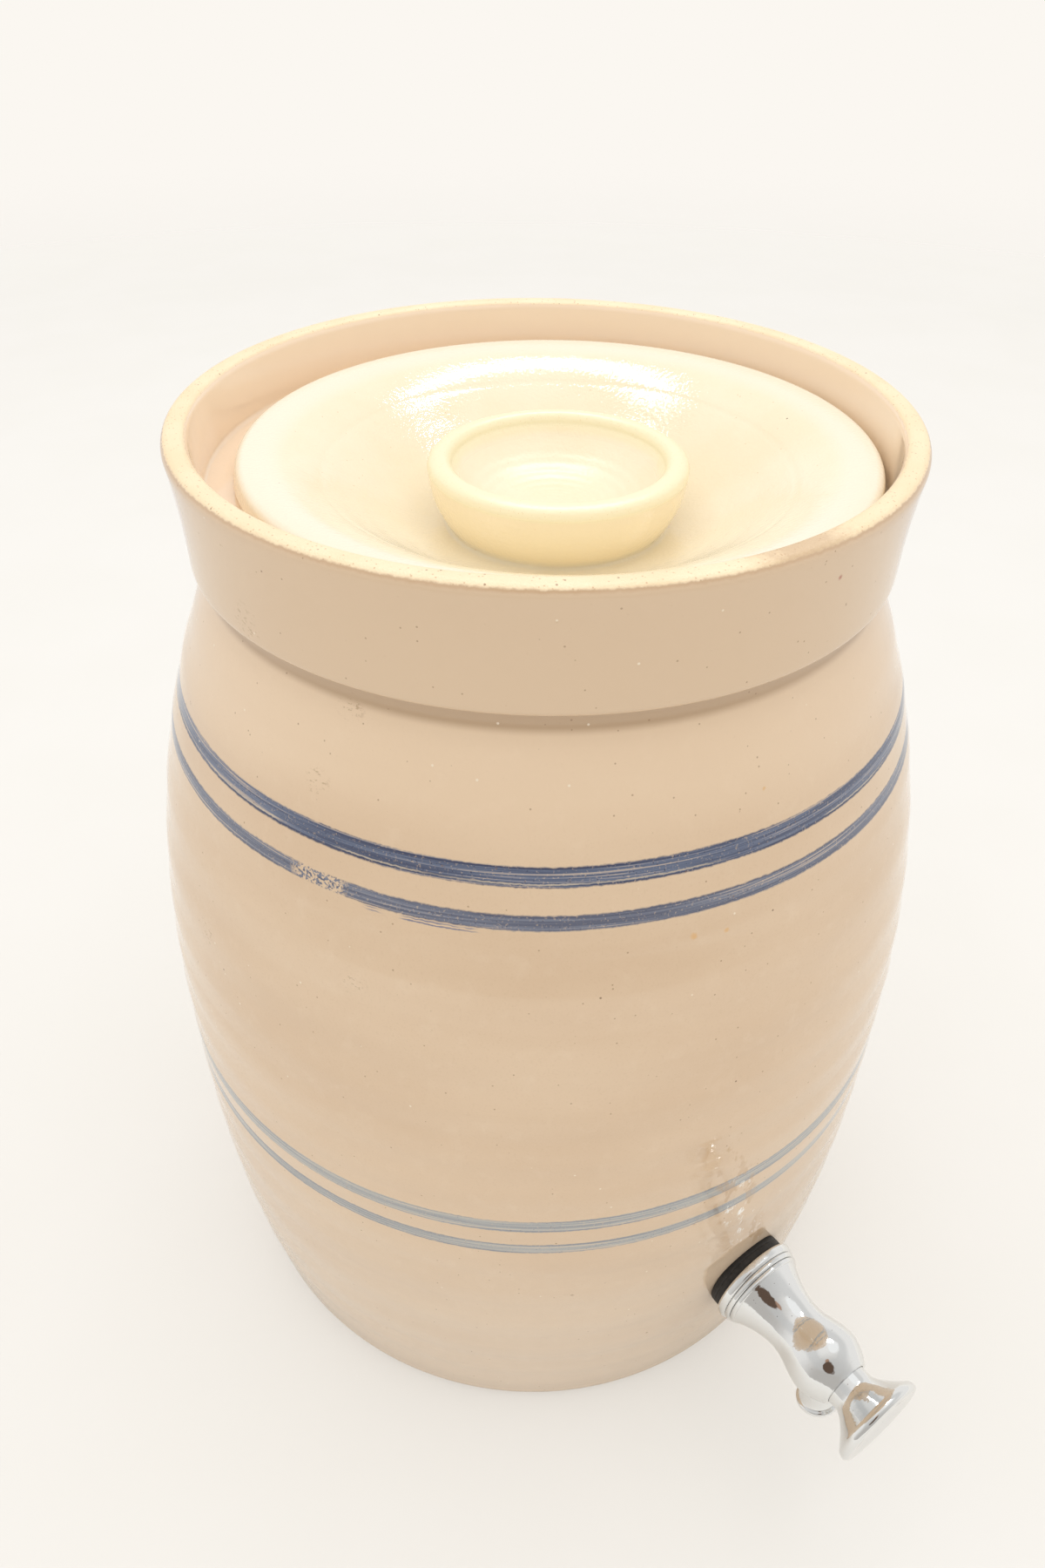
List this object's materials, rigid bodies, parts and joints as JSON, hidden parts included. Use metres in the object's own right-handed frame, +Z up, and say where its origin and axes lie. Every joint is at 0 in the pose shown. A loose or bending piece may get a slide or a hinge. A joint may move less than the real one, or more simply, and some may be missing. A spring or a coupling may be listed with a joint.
{
  "type": "stoneware water cooler with push tap",
  "caption": "Barrel-shaped stoneware water crock with a collared rim, a dished lift-off lid with a hollow ring knob, and a chrome push-button tap clamped low through the wall.",
  "frame": {"origin": "centre of the flat base, on the crock's axis, at table level", "axes": "+Z up along the crock's axis; the tap points along -Y; +X is to the right seen from in front of the tap"},
  "size_m": [0.254, 0.3147, 0.33],
  "materials": {
    "body_glaze": "clear gloss glaze over pale buff stoneware with brown iron specks",
    "lid_glaze": "clear gloss glaze over cream stoneware with fine throwing lines",
    "chrome": "polished chrome plate on brass",
    "black_rubber": "matte black rubber",
    "white_plastic": "moulded food-grade plastic",
    "steel": "stainless steel"
  },
  "bodies": {
    "pot": {"crock": "body_glaze", "outer_gasket": "black_rubber", "tap_body": "chrome", "gland": "white_plastic", "stem_seal": "black_rubber", "return_spring": "steel", "inner_gasket": "black_rubber", "clamp_washer": "steel", "lock_nut": "white_plastic"},
    "lid": {"lid": "lid_glaze"},
    "button": {"push_button": "chrome", "valve_stem": "steel", "valve_disc": "black_rubber", "disc_clip": "steel"}
  },
  "joints": [
    {"name": "lid_lift", "type": "slide", "parent": "pot", "child": "lid", "axis": [0, 0, 1], "range_m": [0, 0.12]},
    {"name": "button_press", "type": "slide", "parent": "pot", "child": "button", "axis": [0, 0.9976, 0.0698], "range_m": [0, 0.003], "stiffness_N_per_m": 600, "springref_m": -0.004, "deforming": ["return_spring"]}
  ]
}
